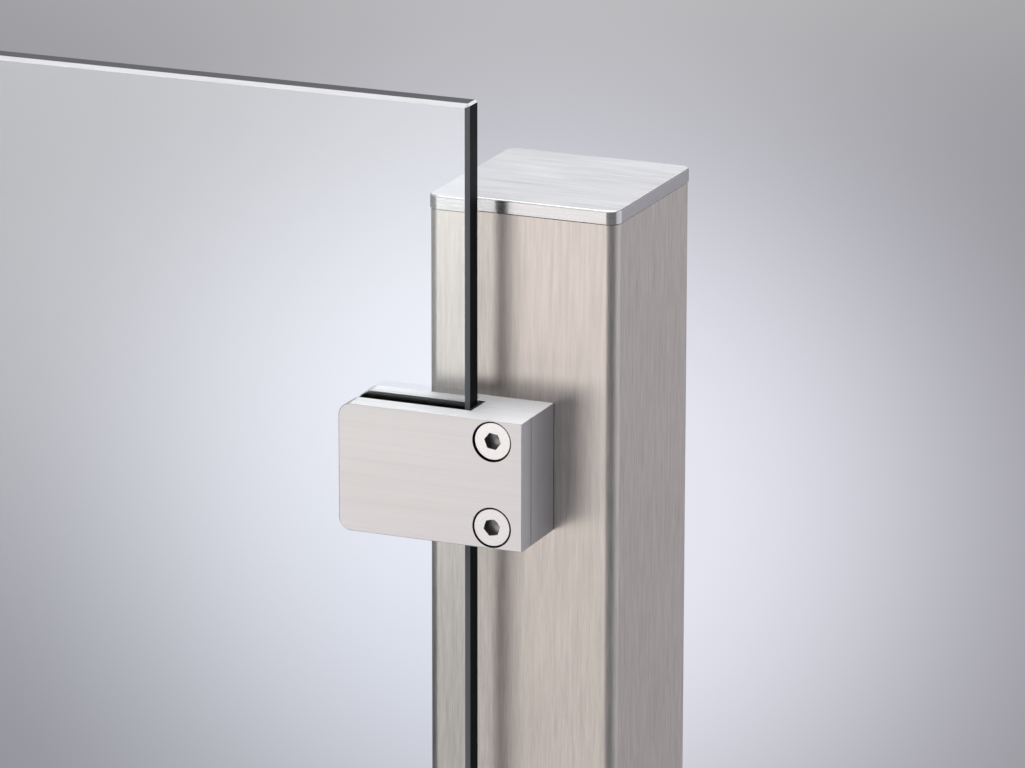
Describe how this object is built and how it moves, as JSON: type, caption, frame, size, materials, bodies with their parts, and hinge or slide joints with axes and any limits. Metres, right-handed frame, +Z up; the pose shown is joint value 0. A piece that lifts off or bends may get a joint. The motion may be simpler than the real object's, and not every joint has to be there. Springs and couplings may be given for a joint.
{
  "type": "glass railing end post",
  "caption": "Square brushed steel railing post on a foot plate, with a flat cap and glass clamps that hold the edge of a clear guard pane.",
  "frame": {"origin": "middle of the foot plate's underside, on the tube's axis", "axes": "+Z up along the tube, -Y towards the side that carries the glass, -X towards the run of the glass"},
  "size_m": [0.3711, 0.12, 1.1],
  "materials": {
    "plate_steel": "satin",
    "weld_steel": "as welded and brushed",
    "post_steel": "brushed along its length",
    "cap_steel": "brushed across",
    "clamp_steel": "brushed across",
    "screw_steel": "bright",
    "black_rubber": "matte",
    "clear_glass": "clear, ground edges"
  },
  "bodies": {
    "root": {"base_plate": "plate_steel", "base_weld": "weld_steel", "post_tube": "post_steel", "post_cap": "cap_steel", "glass_pane": "clear_glass", "upper_clamp_body": "clamp_steel", "upper_clamp_cover": "clamp_steel", "upper_gasket_front": "black_rubber", "upper_gasket_rear": "black_rubber", "upper_cover_screw_a": "screw_steel", "upper_cover_screw_b": "screw_steel", "upper_fixing_screw": "screw_steel", "lower_clamp_body": "clamp_steel", "lower_clamp_cover": "clamp_steel", "lower_gasket_front": "black_rubber", "lower_gasket_rear": "black_rubber", "lower_cover_screw_a": "screw_steel", "lower_cover_screw_b": "screw_steel", "lower_fixing_screw": "screw_steel"}
  },
  "joints": []
}
